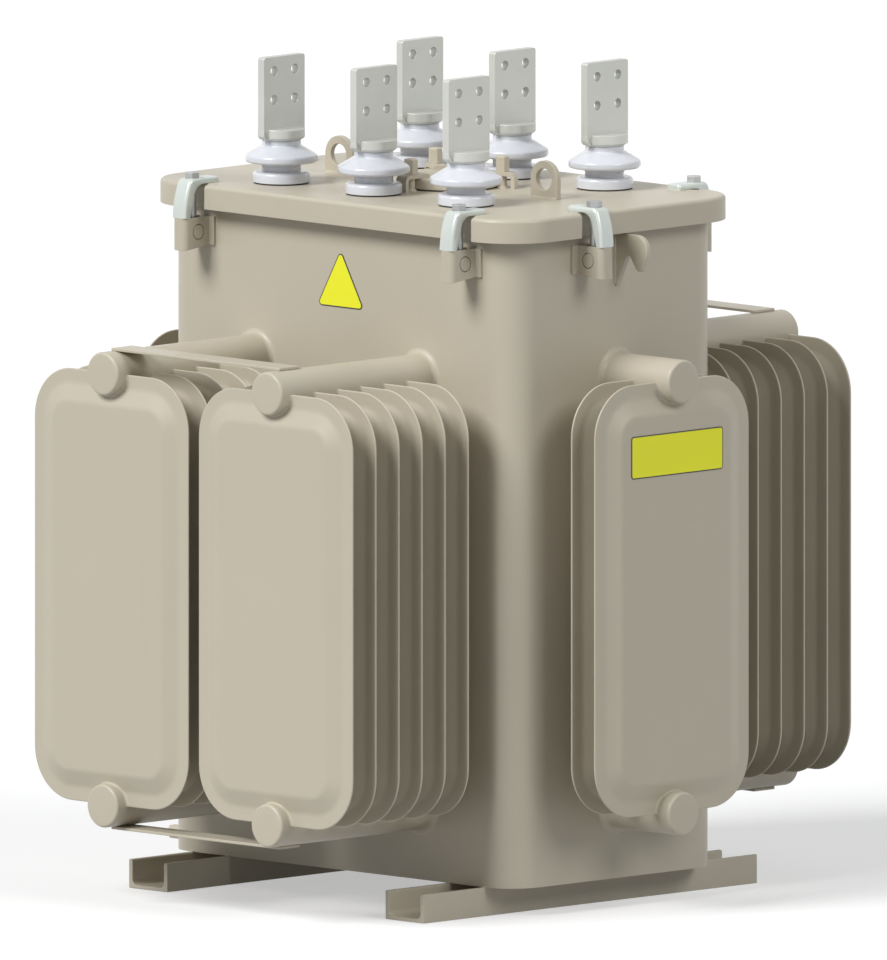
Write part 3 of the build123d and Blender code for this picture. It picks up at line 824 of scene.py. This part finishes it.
def hook_surface(side, along, out, lid_top, drop):
    """One hook: a ring at each level across it, with a quarter circle for the inset towards each side.

    The innermost pair of rings has the hollow's inner line. At the sides the cheeks' inner edges are
    broken by a smaller quarter circle.
    """
    levels = [(HOOK_HALF - HOOK_ROUND - HOOK_DRAFT, 0, True, 0)]
    for turn in quarter(8):
        across = HOOK_HALF - HOOK_ROUND * (1 - math.sin(turn))
        past = max(0.0, across - HOOK_HALF + HOOK_BREAK)
        levels.append((across, HOOK_ROUND * (1 - math.cos(turn)), False,
                       HOOK_BREAK - math.sqrt(max(0.0, HOOK_BREAK ** 2 - past ** 2))))
    rings = []
    for way, row in [(-1, row) for row in levels[::-1]] + [(1, row) for row in levels]:
        across, inset, hollow, edge = row
        loop = np.concatenate([[(ARM_TIP - inset, edge)], hook_outer(drop, inset),
                               hook_inner(drop, hollow, edge)])
        level = np.full(len(loop), along + way * across)
        rings.append(to_world(side, level, out - loop[:, 0], lid_top + loop[:, 1]))
    return ring_stack(np.array(rings))


def make_clamp_hooks():
    """All six hooks, on the lines of the clamp bolts, with the height of the node's box."""
    low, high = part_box("clamp_hooks")
    lid_top = high.z - ARM
    parts = []
    for side, along in CLAMPS:
        wall = side_box("tank_wall", side)[1][1]
        parts.append(hook_surface(side, along, wall + BOLT_OUT, lid_top, lid_top - low.z))
    piece = make_piece("clamp_hook_castings", parts, SLOT_OF["clamp_hooks"], smooth=40.0)
    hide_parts("clamp_hooks")


make_clamp_hooks()
print("clamp hooks made")

# %% [markdown]
# ## Hauling hooks
#
# A hauling hook is flame-cut from plate and welded on edge to the end wall. The cut runs round the beak in
# soft curves, and a grinder breaks its edges. The outline is a path with rounded corners, and the
# thickness is a stack of that path, drawn in a little at both faces.

# %% Hauling hooks
HAUL_THICK = 0.009
HAUL_BREAK = 0.0012
HAUL_OUTLINE = [(0.0002, 0), (0.0614, 0), (0.0614, -0.0295), (0.0500, -0.0515), (0.0415, -0.0492),
                (0.0248, -0.0250), (0.0002, -0.0765)]
HAUL_RADII = [0.0008, 0.0225, 0.0200, 0.0062, 0.0080, 0.0045, 0.0008]


def closed_path(corners, radii, steps):
    """The whole loop round the corners, each one rounded."""
    loop = [corners[-1], *corners, corners[0]]
    return rounded_path(loop, radii, steps)[1:-1]


def drawn_in(loop, by):
    """The loop moved inwards: each point moves against the mean normal of its two neighbours."""
    along = np.roll(loop, -1, 0) - np.roll(loop, 1, 0)
    normal = np.stack([along[:, 1], -along[:, 0]], 1) / np.linalg.norm(along, axis=1)[:, None]
    x, y = loop.T
    turned_left = (x * np.roll(y, -1) - np.roll(x, -1) * y).sum() > 0
    return loop - normal * (by if turned_left else -by)


def thick_plate(loop, thick, edge, place):
    """A flat plate round the loop, its rims broken by an arc. place(loop, depth) gives world points."""
    bend = quarter(4)
    inset = np.concatenate([edge * (1 - np.sin(bend)), edge * (1 - np.cos(bend))])
    depth = np.concatenate([edge * (1 - np.cos(bend)), thick - edge * (1 - np.sin(bend))]) - thick / 2
    return ring_stack(np.array([place(drawn_in(loop, by), level) for by, level in zip(inset, depth)]))


def make_hauling_hooks():
    """Both hooks, with their roots on the end walls and their tops where the node's box ends."""
    loop = closed_path(HAUL_OUTLINE, HAUL_RADII, 12)
    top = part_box("hauling_hooks")[1].z
    parts = []
    for side in ("right", "left"):
        wall = side_box("tank_wall", side)[1][1]

        def place(points, level):
            return to_world(side, np.full(len(points), level), wall + points[:, 0], top + points[:, 1])

        parts.append(thick_plate(loop, HAUL_THICK, HAUL_BREAK, place))
    piece = make_piece("hauling_hook_plates", parts, "tank_paint")
    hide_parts("hauling_hooks")


make_hauling_hooks()
print("hauling hooks made")

# %% [markdown]
# ## Terminal feet
#
# The flag is wider than its cap. At both ends it runs on down the side of the cap as a short foot, so that
# the load of a heavy cable lug goes into the casting and not into a thin overhang.

# %% Terminal feet
FOOT_LENGTH = 0.0145
FOOT_SLOPE = 0.004
FOOT_ROOT = 0.0095
FOOT_THICK = 0.0118
FOOT_BREAK = 0.0008
FOOT_ROUNDS = [0.0005, 0.0005, 0.002, 0.001, 0.0005]
FLAG_LAP = 0.001
SKIN = 0.0001
CAP_TOP = 0.076


def foot_surface(node, way):
    """One foot under the end of a flag: its outline in Y and Z, through the flag's whole thickness.

    It starts a lap above the cap's top and lies one skin inside the flag's end.
    """
    low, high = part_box(node)
    half = (high.y - low.y) / 2
    centre_x, centre_y = (low.x + high.x) / 2, (low.y + high.y) / 2
    root, end = half - FOOT_ROOT, half - SKIN
    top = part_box("lid")[1].z + CAP_TOP + FLAG_LAP
    bottom = top - FOOT_LENGTH
    corners = [(root, top), (end, top), (end, bottom + FOOT_SLOPE), (half - FOOT_SLOPE, bottom), (root, bottom)]
    loop = closed_path(corners, FOOT_ROUNDS, 4)

    def place(points, level):
        y = centre_y + way * points[:, 0]
        return np.stack([np.full(len(points), centre_x + level), y, points[:, 1]], 1)

    return thick_plate(loop, FOOT_THICK, FOOT_BREAK, place)


feet = [foot_surface(bushing + "_terminal", way) for bushing in BUSHINGS for way in (-1, 1)]
make_piece("terminal_feet", feet, "tinned_metal")
print("terminal feet made")

# %% [markdown]
# ## Welds
#
# Where a plate stands on a sheet, a welder runs a bead along the corner. A bead is a round rope of metal,
# half sunk in the corner, that starts and ends in a soft tip and is never quite even.

# %% Welds
BEAD = 0.0028
SKID_BEAD = 0.002
BEAD_STEPS = 10
EYE_WIDTH = 0.052
HAUL_BEAD = (0.002, 0.072)
SKID_FLANGE = 0.007


def bead(start, end, radius=BEAD):
    """A rope from start to end. At the distance s along it the radius is radius times the root of
    1 - (2s - 1)^16, which closes both tips, times 1 + 0.06 sin(s length / 1.1 mm), the ripple."""
    start, end = np.array(start, float), np.array(end, float)
    length = np.linalg.norm(end - start)
    ahead = (end - start) / length
    side = np.cross(ahead, UP if abs(ahead[2]) < 0.9 else np.array([1.0, 0, 0]))
    side /= np.linalg.norm(side)
    over = np.cross(side, ahead)
    s = np.linspace(0.002, 0.998, max(12, int(length / 0.0015)))
    width = radius * np.sqrt(1 - (2 * s - 1) ** 16) * (1 + 0.06 * np.sin(s * length / 0.0011))
    turn = np.arange(BEAD_STEPS) * 2 * math.pi / BEAD_STEPS
    ring = np.cos(turn)[:, None] * side + np.sin(turn)[:, None] * over
    return ring_stack(start + s[:, None, None] * (end - start) + width[:, None, None] * ring)


def eye_beads():
    """Beads along both faces of each lifting eye, on the lid."""
    low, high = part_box("lifting_eyes")
    parts = []
    for left in (low.x + 0.001, high.x - EYE_WIDTH + 0.001):
        for y in (low.y, high.y):
            parts.append(bead((left, y, low.z), (left + EYE_WIDTH - 0.002, y, low.z)))
    return parts


def hook_beads():
    """Beads down both faces of each hauling hook, on the end wall."""
    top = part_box("hauling_hooks")[1].z
    parts = []
    for side in ("left", "right"):
        wall = side_box("tank_wall", side)[1][1]
        for along in (-HAUL_THICK / 2, HAUL_THICK / 2):
            ends = to_world(side, np.full(2, along), np.full(2, wall), top - np.array(HAUL_BEAD))
            parts.append(bead(*ends))
    return parts


def skid_beads():
    """Beads where the bottom edge of the long walls crosses the flanges of both skids."""
    parts = []
    wall = side_box("tank_wall", "front")[1][1]
    for skid in ("left_skid", "right_skid"):
        low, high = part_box(skid)
        for x in (low.x, high.x - SKID_FLANGE):
            for y in (-wall, wall):
                parts.append(bead((x + 0.0005, y, high.z), (x + SKID_FLANGE - 0.0005, y, high.z), SKID_BEAD))
    return parts


make_piece("weld_beads", eye_beads() + hook_beads() + skid_beads(), "tank_paint")
print("welds made")

# %% [markdown]
# ## Yellow plates
#
# Two plain yellow plates mark the object: a triangle high on the front wall, and a rectangle on the outer
# fin at the right. They are thin sheet stuck to the paint, and both are left blank. A slightly larger dark
# sheet below shows as the thin edge.

# %% Plates
PLATE_THICK = 0.0006
PLATE_EDGE = 0.0016
TRIANGLE_WIDTH, TRIANGLE_HEIGHT = 0.086, 0.0755
TRIANGLE_ALONG, TRIANGLE_BASE = 0.006, 0.8225
LABEL_WIDTH, LABEL_HEIGHT, LABEL_MIDDLE = 0.175, 0.056, 0.640
TRIANGLE_ROUND, LABEL_ROUND = 0.004, 0.003


def plate_surface(side, corners, radius, out, thick):
    """A flat plate with rounded corners: the same rounded path at the wall and at the face."""
    along, up = closed_path(list(corners), [radius] * len(corners), 6).T
    rings = [to_world(side, along, np.full_like(along, level), up) for level in (out, out + thick)]
    return ring_stack(np.array(rings))


def grown(corners, by):
    """The polygon with every side moved outwards by the same distance."""
    corners = np.array(corners, float)
    edge = np.roll(corners, -1, 0) - corners
    normal = np.stack([edge[:, 1], -edge[:, 0]], 1) / np.linalg.norm(edge, axis=1)[:, None]
    before = np.roll(normal, 1, 0)
    return corners + by * (normal + before) / (1 + (normal * before).sum(1))[:, None]


def make_plate(name, side, corners, radius, out):
    """The dark sheet and the yellow one on top."""
    make_piece(name + "_edge", [plate_surface(side, grown(corners, PLATE_EDGE), radius + PLATE_EDGE, out,
                                              PLATE_THICK)], None, "dark_edge")
    make_piece(name, [plate_surface(side, corners, radius, out, PLATE_THICK * 1.4)], None, "yellow_plate")


left, right = TRIANGLE_ALONG - TRIANGLE_WIDTH / 2, TRIANGLE_ALONG + TRIANGLE_WIDTH / 2
triangle = [(left, TRIANGLE_BASE), (right, TRIANGLE_BASE), (TRIANGLE_ALONG, TRIANGLE_BASE + TRIANGLE_HEIGHT)]
make_plate("triangle_plate", "front", triangle, TRIANGLE_ROUND, side_box("tank_wall", "front")[1][1])
half = LABEL_WIDTH / 2
low, high = LABEL_MIDDLE - LABEL_HEIGHT / 2, LABEL_MIDDLE + LABEL_HEIGHT / 2
rectangle = [(-half, low), (half, low), (half, high), (-half, high)]
make_plate("rectangle_plate", "right", rectangle, LABEL_ROUND, side_box("right_fins", "right")[1][1])
print("plates made")
